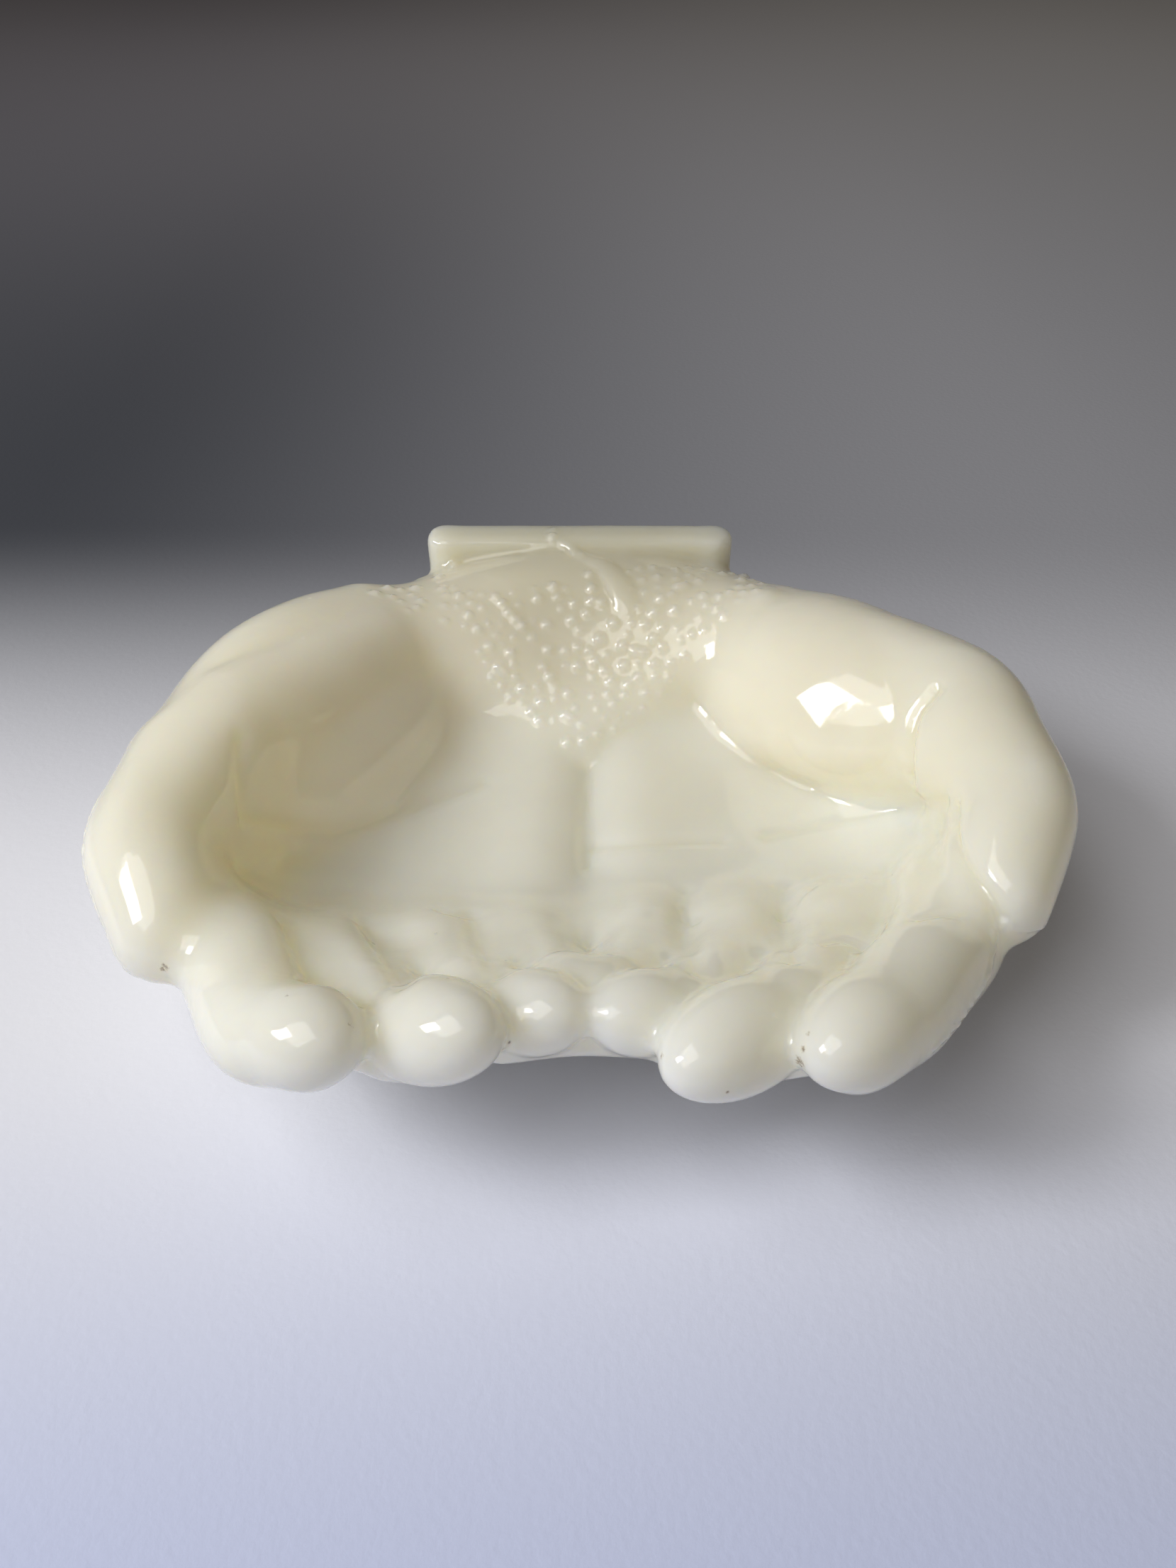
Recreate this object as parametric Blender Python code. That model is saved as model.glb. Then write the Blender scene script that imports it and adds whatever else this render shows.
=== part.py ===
"""Two cupped hands held out together, palms up: a pressed milk-glass dish.

Sizes are in millimetres until the last step, which turns them into metres, +Z up. The
fingers point towards -Y, the cuff is at +Y, and the dish stands on flats ground under the
palms and the cuff. It is one solid. Digits, palms, pads, lace and cuff are closed shells
that overlap, and a voxel remesh fuses them into one skin. Palm lines are pressed into that
skin and lace beads set on it, a finer remesh fuses those too, and the feet are ground flat.
"""

import math

import bmesh
import bpy
import numpy as np
from mathutils import Matrix, Vector
from mathutils.bvhtree import BVHTree

METRES = 0.001

# Skin: voxels of the two remeshes, smoothing steps after each, and the triangle budget.
BODY_VOXEL = 0.8
BODY_SOFTENING = 5
DETAIL_VOXEL = 0.6
DETAIL_SOFTENING = 1
TRIANGLES = 11400
LACE_THINNING = 0.5

# Fingers: the knuckle's centre, then bones as (length, heading, rise). Heading is the turn
# from straight ahead towards the other hand and rise is above the table, both in degrees.
# Each hand is given as if it were the one at +X.
FINGERS = {
    "right": {
        "index": ((44.1, 1.1, 13.0), ((13.4, 13, 22), (17.3, 33, 17), (10.1, 43, 17))),
        "middle": ((31.7, -0.7, 10.0), ((10.6, 13, 22), (17.9, 30, 25), (12.4, 48, 16))),
        "ring": ((19.1, -1.7, 9.5), ((9.6, 8, 25), (15.9, 28, 26), (9.4, 57, 25))),
        "little": ((6.7, -2.2, 10.0), ((8.4, 1, 22), (11.1, 17, 29), (6.5, 35, 34))),
    },
    "left": {
        "index": ((45.0, -5.3, 13.0), ((11.0, 30, 35), (17.0, 27, 14), (7.8, 56, 22))),
        "middle": ((31.1, -5.5, 10.0), ((7.9, 5, 35), (18.0, 36, 19), (10.4, 54, 33))),
        "ring": ((19.8, -4.4, 9.5), ((8.3, 24, 25), (15.7, 27, 29), (9.0, 57, 29))),
        "little": ((8.2, -4.1, 10.0), ((7.5, 18, 25), (9.9, 18, 31), (6.3, 24, 38))),
    },
}
# Breadths at the knuckle, the two joints and the tip; flesh swells between joints.
FINGER_BREADTHS = {
    "index": (14.0, 13.8, 12.2, 11.0),
    "middle": (13.6, 12.4, 11.4, 10.0),
    "ring": (13.2, 11.8, 10.2, 8.0),
    "little": (12.4, 11.2, 9.6, 7.4),
}
FINGER_DEPTH_RATIO = 0.92
FINGER_SWELL = 1.01
THUMB_SWELL = 1.07

# Fingertips: an egg of flesh on the last bone. It overhangs both ends of the bone and sits
# part way along it, raised towards the palm.
FINGERTIP_BREADTHS = {"index": 11.6, "middle": 11.8, "ring": 9.5, "little": 9.6}
FINGERTIP_OVERHANGS = {"index": 4.8, "middle": 4.8, "ring": 2.4, "little": 3.6}
FINGERTIP_PLACES = {"index": 0.68, "middle": 0.68, "ring": 0.75, "little": 0.68}
FINGERTIP_RAISE = 0.2

# Thumbs, from the wrist outwards, in the same way.
THUMBS = {
    "right": ((27.9, 50.6, 17.0), ((34.0, -38, 13), (20.8, -9, 3), (13.6, 20, -12))),
    "left": ((28.0, 50.6, 17.0), ((40.0, -29.5, 11), (19.6, -11, 3), (12.4, 22, -12))),
}
THUMB_BREADTHS = (21.0, 19.0, 14.6, 12.6)

# Glass that fills the fold between each thumb and its palm.
FOLD_PATH = ((49.0, 20.0, 14.0), (48.5, 10.0, 14.5), (46.0, 0.0, 14.5))
FOLD_BREADTH = 10.0

# Ball of each thumb: centre, half-lengths along, across and through it, heading, rise, roll.
THUMB_BALLS = {
    "right": ((33.0, 37.0, 19.0), (27.0, 16.5, 12.0), -38, 8, 20),
    "left": ((35.8, 32.6, 19.0), (31.0, 18.5, 9.5), -32, 8, 37),
}

# Glass web that joins neighbouring fingers, and how far its top is above each joint.
WEB_THICKNESS = 4.4
WEB_RAISES = (2.2, 1.8, 0.8, -1.2)

# Palms, at stations from the wrist forwards: (y, outer edge, heights of the floor across
# one hand). The heights run outwards from the groove between the hands, at these parts of
# the way to the outer edge.
PALM_ACROSS = (0.0, 0.05, 0.14, 0.28, 0.48, 0.68, 0.88, 1.0)
PALM_FLOOR = (
    (56.0, 26.0, (15, 15, 16, 17, 18, 18, 18, 18)),
    (44.0, 36.0, (13, 14, 15, 15, 14, 14, 16, 18)),
    (32.0, 44.0, (11.5, 13, 14, 13.5, 12.5, 12, 15, 20)),
    (20.0, 50.0, (10, 11.5, 12.5, 12, 11, 11, 15, 22)),
    (8.0, 50.0, (9.5, 11.2, 12.2, 11.5, 11, 11, 14, 21)),
    (-4.0, 50.0, (9.5, 11.2, 12.2, 12, 12, 12, 15, 20)),
)
PALM_THICKNESS = 6.5

# Backs of the hands: one flat limb from the wrist to each knuckle, through a low middle.
WRIST_ENDS = {
    "index": (21.0, 51.0, 15.0),
    "middle": (16.0, 54.0, 14.0),
    "ring": (11.0, 55.0, 13.0),
    "little": (5.0, 55.0, 13.0),
}
BACK_BREADTHS = (16.0, 17.0, 12.0)
BACK_DEPTH_RATIO = 0.6
BACK_LOW_POINT = 4.2
KNUCKLE_DROP = 3.0

# Glass under the groove between the hands, from the heels to the little fingers.
SEAM_PATH = ((0.0, 48.0, 9.5), (0.0, 26.0, 6.0), (0.0, 2.0, 5.4), (0.0, -10.0, 10.2), (0.0, -18.0, 15.2))
SEAM_BREADTH = 7.0

# Glass that joins the two ring fingertips from below.
SKIRT_PATH = ((-9.0, -27.3, 20.3), (-1.0, -27.0, 21.3), (7.0, -27.0, 21.0))
SKIRT_BREADTH = 5.2

# Wrists: one flattened limb under the lace, from the cuff forwards.
WRIST_PATH = ((-1.0, 54.0, 13.5), (-1.0, 50.0, 12.5))
WRIST_BREADTHS = (54.0, 46.0)
WRIST_DEPTH_RATIO = 0.46

# Lace front: a tongue that tapers from the cuff down between the heels of the hands, as
# (y, left edge, right edge, heights across it).
LACE_STATIONS = (
    (63.0, -25.0, 22.5, (24.0, 27.5, 29.0, 27.5, 24.0)),
    (54.0, -30.0, 27.5, (26.0, 28.0, 28.0, 28.0, 27.0)),
    (47.0, -31.0, 26.5, (28.0, 26.0, 24.0, 26.0, 29.0)),
    (41.5, -23.0, 17.0, (25.0, 22.0, 19.5, 20.0, 23.0)),
    (37.0, -15.0, 11.0, (18.5, 17.5, 17.0, 17.0, 16.5)),
    (33.0, -8.0, 3.5, (14.5, 15.0, 15.0, 15.0, 14.0)),
    (29.0, -3.0, 1.0, (12.0, 12.5, 12.5, 12.5, 12.0)),
)
LACE_THICKNESS = 15.0

# Lace beads, sunk part way into the tongue, and the two cords that lie across them.
BEAD_RADIUS = 1.25
BEAD_SPACING = 3.1
BEAD_SINK = 0.25
BEAD_SEED = 7
LACE_OUTLINE = (
    (-31.0, 47.5), (-28.0, 57.0), (-24.0, 60.5), (21.0, 60.5), (27.0, 55.0), (25.0, 47.5),
    (16.5, 42.5), (11.0, 38.5), (6.5, 35.0), (0.5, 31.5), (-2.0, 30.5), (-8.5, 34.5),
    (-14.0, 39.0), (-20.0, 42.5), (-25.0, 44.0),
)
CORDS = (
    (2.6, ((-5.6, 63.5), (-0.9, 59.6), (3.6, 55.5), (6.0, 49.5), (6.4, 45.5))),
    (1.8, ((-15.0, 51.0), (-12.0, 48.3), (-9.0, 46.0))),
)

# Soft places of the body, as (rounds of smoothing, reach, line seen from above): the foot
# of the left thumb's ball, both pits beside the thumbs, the fingers' roots and first joints.
SOFT_PLACES = (
    (90, 9.0, ((-36.0, 7.0), (-26.0, 14.0), (-19.0, 23.0), (-13.0, 36.0))),
    (40, 7.0, ((38.0, 20.0), (48.0, 18.0), (50.0, 10.0))),
    (60, 6.5, ((-50.0, 14.0), (-47.0, 5.0), (-41.0, -1.0), (-35.0, -7.0))),
    (40, 6.0, ((46.0, 1.0), (32.0, -1.0), (19.0, -2.0), (7.0, -3.0), (0.0, -4.0))),
    (40, 6.0, ((-46.0, -5.0), (-31.0, -6.0), (-20.0, -5.0), (-8.0, -4.0), (0.0, -4.0))),
    (30, 6.0, ((42.0, -11.0), (29.5, -10.5), (18.0, -10.5), (6.5, -10.0))),
    (30, 6.0, ((-40.0, -17.0), (-27.0, -14.0), (-17.0, -12.0), (-6.0, -11.0))),
)

# Palm lines pressed into the floor, in both hands.
PALM_LINES = (
    ((1.5, 12.6), (9.5, 11.8), (18.0, 13.0)),
    ((22.0, 14.0), (32.3, 16.6), (40.0, 16.3)),
    ((-38.0, 9.6), (-29.1, 9.2), (-21.5, 8.3)),
    ((-19.0, 13.5), (-10.0, 11.5), (-2.5, 12.2)),
)
LINE_DEPTH = 0.6
LINE_HALF_WIDTH = 1.0

# Feet: the glass below this height is ground away, under the palms and the cuff, and what
# is left within the reach above it is made flush.
FOOT_LEVEL = 0.8
FOOT_REACH = 0.15

# Cuff: a straight band across the back with a round post at each end.
CUFF_X = (-22.2, 19.6)
CUFF_Y = 64.5
CUFF_HEIGHT = 30.2
CUFF_THICKNESS = 6.0
POST_RADIUS = 3.4

# Opal glass
GLASS_COLOUR = (0.80, 0.77, 0.66, 1.0)
GLASS_ROUGHNESS = 0.12


def pointing(side, heading, rise):
    """Unit vector of a heading and a rise; side is +1 for the hand at +X, else -1."""
    turn, lift = math.radians(heading), math.radians(rise)
    flat = math.cos(lift)
    return Vector((-side * math.sin(turn) * flat, -math.cos(turn) * flat, math.sin(lift)))


def joints_of(side, root, bones):
    """Joint centres of one digit, from its root outwards."""
    joints = [Vector((side * root[0], root[1], root[2]))]
    for length, heading, rise in bones:
        joints.append(joints[-1] + length * pointing(side, heading, rise))
    return joints


def smooth_rows(rows, per_span):
    """Catmull-Rom curve through rows of numbers, with per_span samples between two rows."""
    rows = np.asarray(rows, float)
    padded = np.concatenate([[2 * rows[0] - rows[1]], rows, [2 * rows[-1] - rows[-2]]])
    t = (np.arange(per_span) / per_span).reshape([-1] + [1] * (rows.ndim - 1))
    spans = []
    for p0, p1, p2, p3 in zip(padded, padded[1:], padded[2:], padded[3:]):
        bend = 2 * p0 - 5 * p1 + 4 * p2 - p3 + t * (3 * (p1 - p2) + p3 - p0)
        spans.append(p1 + 0.5 * t * (p2 - p0 + t * bend))
    return np.concatenate(spans + [rows[-1:]])


def add_limb(bm, centres, breadths, depth_ratio=1.0, sides=24, per_span=6):
    """A closed round-ended limb along centres, with a breadth at each of them."""
    rows = smooth_rows([[*c, b / 2] for c, b in zip(centres, breadths)], per_span)
    path, radii = rows[:, :3], rows[:, 3]
    along = np.gradient(path, axis=0)
    along /= np.linalg.norm(along, axis=1)[:, None]
    stations = list(zip(path, along, radii))
    # Quarter-round ends, as extra rings before the first centre and after the last.
    for angle in (20, 40, 60, 80):
        reach = depth_ratio * math.sin(math.radians(angle))
        shrink = math.cos(math.radians(angle))
        stations.insert(0, (path[0] - along[0] * radii[0] * reach, along[0], radii[0] * shrink))
        stations.append((path[-1] + along[-1] * radii[-1] * reach, along[-1], radii[-1] * shrink))
    rings = []
    for centre, forward, radius in stations:
        across = np.cross(forward, (0, 0, 1))
        across /= np.linalg.norm(across)
        up = np.cross(across, forward)
        ring = []
        for k in range(sides):
            angle = 2 * math.pi * k / sides
            offset = math.cos(angle) * across + depth_ratio * math.sin(angle) * up
            ring.append(bm.verts.new(centre + radius * offset))
        rings.append(ring)
    for lower, upper in zip(rings, rings[1:]):
        for k in range(sides):
            n = (k + 1) % sides
            bm.faces.new((lower[k], lower[n], upper[n], upper[k]))
    bm.faces.new(rings[0][::-1])
    bm.faces.new(rings[-1])


def add_digit(bm, joints, breadths, swell, depth_ratio=1.0):
    """A limb whose flesh swells half way between its joints."""
    centres, widths = [joints[0]], [breadths[0]]
    for near, far, near_breadth, far_breadth in zip(joints, joints[1:], breadths, breadths[1:]):
        centres += [(near + far) / 2, far]
        widths += [(near_breadth + far_breadth) / 2 * swell, far_breadth]
    add_limb(bm, centres, widths, depth_ratio)


def add_egg(bm, centre, forward, half_lengths, roll=0.0):
    """An ellipsoid with half-lengths along forward, across it and through it."""
    across = forward.cross(Vector((0, 0, 1))).normalized()
    across.rotate(Matrix.Rotation(math.radians(roll), 3, forward))
    up = across.cross(forward)
    axes = Matrix([a * h for a, h in zip((forward, across, up), half_lengths)]).transposed()
    place = Matrix.Translation(centre) @ axes.to_4x4()
    bmesh.ops.create_uvsphere(bm, u_segments=40, v_segments=20, radius=1.0, matrix=place)


def add_fingertip(bm, joint, tip, finger):
    breadth = FINGERTIP_BREADTHS[finger]
    forward = (tip - joint).normalized()
    up = forward.cross(Vector((0, 0, 1))).cross(forward).normalized()
    length = (tip - joint).length / 2 + FINGERTIP_OVERHANGS[finger]
    centre = joint.lerp(tip, FINGERTIP_PLACES[finger]) + up * FINGERTIP_RAISE
    add_egg(bm, centre, forward, (length, breadth / 2, breadth / 2 * FINGER_DEPTH_RATIO))


def add_back(bm, side, wrist_end, knuckle):
    start = Vector((side * wrist_end[0], wrist_end[1], wrist_end[2]))
    end = knuckle - Vector((0, 0, KNUCKLE_DROP))
    low = (start + end) / 2
    low.z = BACK_LOW_POINT
    add_limb(bm, (start, low, end), BACK_BREADTHS, BACK_DEPTH_RATIO)


def add_sheet(bm, rows, thickness):
    """A closed slab under a smooth surface through rows of points, all of one length."""
    top = smooth_rows(rows, 5)
    top = np.swapaxes(smooth_rows(np.swapaxes(top, 0, 1), 5), 0, 1)
    upper = [[bm.verts.new(p) for p in row] for row in top]
    lower = [[bm.verts.new(p - (0, 0, thickness)) for p in row] for row in top]
    rows_made, columns_made = len(upper), len(upper[0])
    for i in range(rows_made - 1):
        for j in range(columns_made - 1):
            bm.faces.new((upper[i][j], upper[i + 1][j], upper[i + 1][j + 1], upper[i][j + 1]))
            bm.faces.new((lower[i][j], lower[i][j + 1], lower[i + 1][j + 1], lower[i + 1][j]))
    rim = [(i, 0) for i in range(rows_made)]
    rim += [(rows_made - 1, j) for j in range(1, columns_made)]
    rim += [(i, columns_made - 1) for i in range(rows_made - 2, -1, -1)]
    rim += [(0, j) for j in range(columns_made - 2, 0, -1)]
    for (i, j), (m, n) in zip(rim, rim[1:] + rim[:1]):
        bm.faces.new((upper[i][j], lower[i][j], lower[m][n], upper[m][n]))


def add_hand(bm, name, side, web_rows):
    """Fingers, thumb and palm of one hand; its finger joints are added to the web's rows."""
    fingers = list(FINGERS[name].items())
    for finger, (knuckle, bones) in fingers if side > 0 else fingers[::-1]:
        joints = joints_of(side, knuckle, bones)
        add_digit(bm, joints, FINGER_BREADTHS[finger], FINGER_SWELL, FINGER_DEPTH_RATIO)
        add_fingertip(bm, joints[2], joints[3], finger)
        add_back(bm, side, WRIST_ENDS[finger], joints[0])
        for row, joint, raised in zip(web_rows, joints, WEB_RAISES):
            row.append(joint + Vector((0, 0, raised)))
    add_digit(bm, joints_of(side, *THUMBS[name]), THUMB_BREADTHS, THUMB_SWELL)
    fold = [Vector((side * x, y, z)) for x, y, z in FOLD_PATH]
    add_limb(bm, fold, [FOLD_BREADTH] * len(fold))
    centre, half_lengths, heading, rise, roll = THUMB_BALLS[name]
    centre = Vector((side * centre[0], centre[1], centre[2]))
    add_egg(bm, centre, pointing(side, heading, rise), half_lengths, side * roll)
    floor = [
        [(side * part * edge, y, z) for part, z in zip(PALM_ACROSS, heights)]
        for y, edge, heights in PALM_FLOOR
    ]
    add_sheet(bm, floor, PALM_THICKNESS)


def add_cuff(bm):
    left, right = CUFF_X
    middle = ((left + right) / 2, CUFF_Y, CUFF_HEIGHT / 2)
    band = Matrix.Diagonal((right - left, CUFF_THICKNESS, CUFF_HEIGHT, 1))
    bmesh.ops.create_cube(bm, size=1.0, matrix=Matrix.Translation(middle) @ band)
    for x in CUFF_X:
        post = Matrix.Translation((x, CUFF_Y, CUFF_HEIGHT / 2))
        bmesh.ops.create_cone(
            bm, cap_ends=True, segments=32, radius1=POST_RADIUS, radius2=POST_RADIUS,
            depth=CUFF_HEIGHT, matrix=post,
        )


def body_shells():
    bm = bmesh.new()
    web_rows = [[], [], [], []]
    add_hand(bm, "right", 1, web_rows)
    add_hand(bm, "left", -1, web_rows)
    add_sheet(bm, web_rows, WEB_THICKNESS)
    add_limb(bm, SEAM_PATH, [SEAM_BREADTH] * len(SEAM_PATH))
    add_limb(bm, SKIRT_PATH, [SKIRT_BREADTH] * len(SKIRT_PATH))
    add_limb(bm, WRIST_PATH, WRIST_BREADTHS, WRIST_DEPTH_RATIO)
    lace = [
        [(x, y, z) for x, z in zip(np.linspace(left, right, len(heights)), heights)]
        for y, left, right, heights in LACE_STATIONS
    ]
    add_sheet(bm, lace, LACE_THICKNESS)
    add_cuff(bm)
    bmesh.ops.recalc_face_normals(bm, faces=bm.faces)
    return bm


def fused(bm, voxel, softening):
    """One closed skin around all the shells of bm, without the voids they enclose."""
    shells = bpy.data.meshes.new("shells")
    bm.to_mesh(shells)
    bm.free()
    obj = bpy.data.objects.new("shells", shells)
    bpy.context.scene.collection.objects.link(obj)
    remesh = obj.modifiers.new("Fuse", "REMESH")
    remesh.mode = "VOXEL"
    remesh.voxel_size = voxel
    remesh.adaptivity = 0.0
    smooth = obj.modifiers.new("Soften", "SMOOTH")
    smooth.factor = 0.5
    smooth.iterations = softening
    skin = baked(obj)
    bpy.data.meshes.remove(shells)
    return outer_skin(skin)


def baked(obj):
    """The object's mesh with its modifiers applied; the object itself is removed."""
    mesh = bpy.data.meshes.new_from_object(obj.evaluated_get(bpy.context.evaluated_depsgraph_get()))
    bpy.data.objects.remove(obj)
    return mesh


def outer_skin(mesh):
    """Only the piece of the mesh that reaches furthest to +X, without the voids inside it."""
    bm = bmesh.new()
    bm.from_mesh(mesh)
    waiting = [max(bm.verts, key=lambda vert: vert.co.x)]
    waiting[0].tag = True
    while waiting:
        vert = waiting.pop()
        for edge in vert.link_edges:
            other = edge.other_vert(vert)
            if not other.tag:
                other.tag = True
                waiting.append(other)
    stray = [vert for vert in bm.verts if not vert.tag]
    bmesh.ops.delete(bm, geom=stray, context="VERTS")
    bm.to_mesh(mesh)
    bm.free()
    return mesh


def rows_of(items, name, width, kind=float):
    """One property of all the items, as rows of numbers."""
    values = np.empty(len(items) * width, kind)
    items.foreach_get(name, values)
    return values.reshape(-1, width)


def away_from(line, points):
    """Distance of each point from a line, both seen from above."""
    line = smooth_rows(line, 6)
    away = np.full(len(points), np.inf)
    for start, end in zip(line, line[1:]):
        span = end - start
        t = np.clip((points[:, :2] - start) @ span / (span @ span), 0, 1)
        gap = np.linalg.norm(points[:, :2] - start - t[:, None] * span, axis=1)
        away = np.minimum(away, gap)
    return away


def soften(skin):
    """Blend the soft places of the skin's upper side into what is around them."""
    points = rows_of(skin.vertices, "co", 3)
    normals = rows_of(skin.vertex_normals, "vector", 3)
    ends = rows_of(skin.edges, "vertices", 2, int)
    for rounds, reach, line in SOFT_PLACES:
        pull = 0.5 * np.clip(1 - (away_from(line, points) / reach) ** 2, 0, 1)
        pull[normals[:, 2] < 0] = 0
        near, far = ends[(pull[ends] > 0).any(axis=1)].T
        starts, others = np.concatenate([near, far]), np.concatenate([far, near])
        count = np.maximum(np.bincount(starts, minlength=len(points)), 1)
        for _ in range(rounds):
            sums = [np.bincount(starts, points[others, k], len(points)) for k in range(3)]
            points += pull[:, None] * (np.transpose(sums) / count[:, None] - points)
    skin.vertices.foreach_set("co", points.ravel())
    skin.update()


def press_lines(skin):
    """Press the palm lines into the parts of the skin that face up."""
    points = rows_of(skin.vertices, "co", 3)
    normals = rows_of(skin.vertex_normals, "vector", 3)
    depth = np.zeros(len(points))
    for line in PALM_LINES:
        away = away_from(line, points)
        depth = np.maximum(depth, LINE_DEPTH * np.exp(-((away / LINE_HALF_WIDTH) ** 2)))
    depth[normals[:, 2] < 0.5] = 0
    skin.vertices.foreach_set("co", (points - normals * depth[:, None]).ravel())
    skin.update()


def inside(x, y, outline):
    """Whether a point seen from above is inside an outline."""
    hit = False
    for (x0, y0), (x1, y1) in zip(outline, outline[1:] + outline[:1]):
        if (y0 > y) != (y1 > y) and x < x0 + (y - y0) * (x1 - x0) / (y1 - y0):
            hit = not hit
    return hit


def bead_spots():
    """Places of the beads seen from above, scattered no closer than their spacing."""
    rng = np.random.default_rng(BEAD_SEED)
    low, high = np.min(LACE_OUTLINE, axis=0), np.max(LACE_OUTLINE, axis=0)
    spots = []
    for spot in rng.uniform(low, high, (3000, 2)):
        clear = all(np.hypot(*(spot - other)) > BEAD_SPACING for other in spots)
        if clear and inside(*spot, LACE_OUTLINE):
            spots.append(spot)
    return spots


def lace_shells(skin):
    """Beads and cords laid on the skin below them."""
    bm = bmesh.new()
    tree = BVHTree.FromPolygons([v.co for v in skin.vertices], [p.vertices for p in skin.polygons])

    def on_skin(x, y):
        return tree.ray_cast(Vector((x, y, 100)), Vector((0, 0, -1)))[:2]

    for x, y in bead_spots():
        point, normal = on_skin(x, y)
        centre = point - normal * BEAD_RADIUS * BEAD_SINK
        place = Matrix.Translation(centre)
        bmesh.ops.create_icosphere(bm, subdivisions=2, radius=BEAD_RADIUS, matrix=place)
    for breadth, line in CORDS:
        path = [on_skin(x, y)[0] for x, y in smooth_rows(line, 4)]
        add_limb(bm, path, [breadth] * len(path), sides=12, per_span=2)
    bmesh.ops.recalc_face_normals(bm, faces=bm.faces)
    return bm


def thinned(skin, triangles):
    """The skin with no more than a number of triangles, spent first on the lace."""
    obj = bpy.data.objects.new("thinning", skin)
    bpy.context.scene.collection.objects.link(obj)
    plain = obj.vertex_groups.new(name="plain")
    for vert in skin.vertices:
        lace = vert.normal.z > -0.2 and inside(vert.co.x, vert.co.y, LACE_OUTLINE)
        plain.add([vert.index], LACE_THINNING if lace else 1.0, "REPLACE")
    skin.calc_loop_triangles()
    decimate = obj.modifiers.new("Thin", "DECIMATE")
    decimate.ratio = triangles / len(skin.loop_triangles)
    decimate.use_collapse_triangulate = True
    decimate.vertex_group = plain.name
    decimate.vertex_group_factor = 1.0
    return baked(obj)


def grind_feet(skin, reach):
    """Flatten everything below the foot level or within reach above it."""
    for vert in skin.vertices:
        if vert.co.z < FOOT_LEVEL + reach:
            vert.co.z = FOOT_LEVEL


def centred(skin):
    """Move the skin so that its box stands on the origin, and turn it into metres."""
    points = np.array([v.co for v in skin.vertices])
    low, high = points.min(axis=0), points.max(axis=0)
    middle = Vector(((low[0] + high[0]) / 2, (low[1] + high[1]) / 2, low[2]))
    skin.transform(Matrix.Scale(METRES, 4) @ Matrix.Translation(-middle))
    print("moved by", [round(-v, 2) for v in middle])


def opal_glass():
    material = bpy.data.materials.new("opal_glass")
    material.use_nodes = True
    shader = material.node_tree.nodes["Principled BSDF"]
    shader.inputs["Base Color"].default_value = GLASS_COLOUR
    shader.inputs["Roughness"].default_value = GLASS_ROUGHNESS
    return material


def main():
    for obj in list(bpy.data.objects):
        bpy.data.objects.remove(obj)
    skin = fused(body_shells(), BODY_VOXEL, BODY_SOFTENING)
    soften(skin)
    press_lines(skin)
    bm = lace_shells(skin)
    bm.from_mesh(skin)
    skin = fused(bm, DETAIL_VOXEL, DETAIL_SOFTENING)
    grind_feet(skin, 0.0)
    skin = thinned(skin, TRIANGLES)
    grind_feet(skin, FOOT_REACH)
    centred(skin)
    skin.shade_smooth()
    skin.materials.append(opal_glass())
    skin.name = "cupped_hands"
    bpy.context.scene.collection.objects.link(bpy.data.objects.new("cupped_hands", skin))


main()
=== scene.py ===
"""Two cupped hands in pressed opal glass, standing on a pale table in window light.

The hands are modelled in millimetres from the same sizes as the solid part, then fused a
second time with finer voxels, so that beads, a ribbon, creases and seams have their own
geometry. The finished skin replaces the part's solid in place.
"""

import math

import bmesh
import bpy
import numpy as np
from mathutils import Matrix, Vector, noise
from mathutils.bvhtree import BVHTree


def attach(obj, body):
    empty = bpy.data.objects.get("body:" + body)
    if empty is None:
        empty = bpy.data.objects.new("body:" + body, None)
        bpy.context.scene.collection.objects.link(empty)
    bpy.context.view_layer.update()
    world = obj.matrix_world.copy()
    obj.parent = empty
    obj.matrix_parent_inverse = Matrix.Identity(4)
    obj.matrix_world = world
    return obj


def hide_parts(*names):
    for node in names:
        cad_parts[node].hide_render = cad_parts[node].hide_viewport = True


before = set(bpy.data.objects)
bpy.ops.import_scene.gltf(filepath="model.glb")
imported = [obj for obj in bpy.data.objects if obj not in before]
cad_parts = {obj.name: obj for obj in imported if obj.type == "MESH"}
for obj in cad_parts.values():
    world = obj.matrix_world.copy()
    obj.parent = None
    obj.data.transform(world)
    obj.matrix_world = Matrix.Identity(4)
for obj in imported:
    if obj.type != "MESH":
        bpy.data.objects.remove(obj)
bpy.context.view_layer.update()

METRES = 0.001

# How the model's millimetres move to stand on the origin, as the solid part does.
MOVED = Vector((-0.24, -14.95, -0.80))

# Skin: voxels of the two remeshes, smoothing steps after each, and the triangle budget.
BODY_VOXEL = 0.8
BODY_SOFTENING = 5
FINE_VOXEL = 0.4
FINE_SOFTENING = 2
FINE_TRIANGLES = 190000
# The lace is thinned less than the rest, where it doesn't face further down than this.
LACE_THINNING = 0.25
LACE_FACING = -0.2
# Samples between two rows of points of a sheet.
SHEET_SAMPLES = 5

# Camera: pitch below level, place in the model's millimetres, focal length in pixels.
PHOTO_WIDTH = 1659
PHOTO_HEIGHT = 2212
FOCAL_PIXELS = 1662.0
CAMERA_PITCH = 40.0
CAMERA_PLACE = Vector((0.0, -103.98, 119.44))
# Distances tried, in whole millimetres, where a pixel's sight passes the skin.
PASSING_REACHES = range(90, 200)

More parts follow.
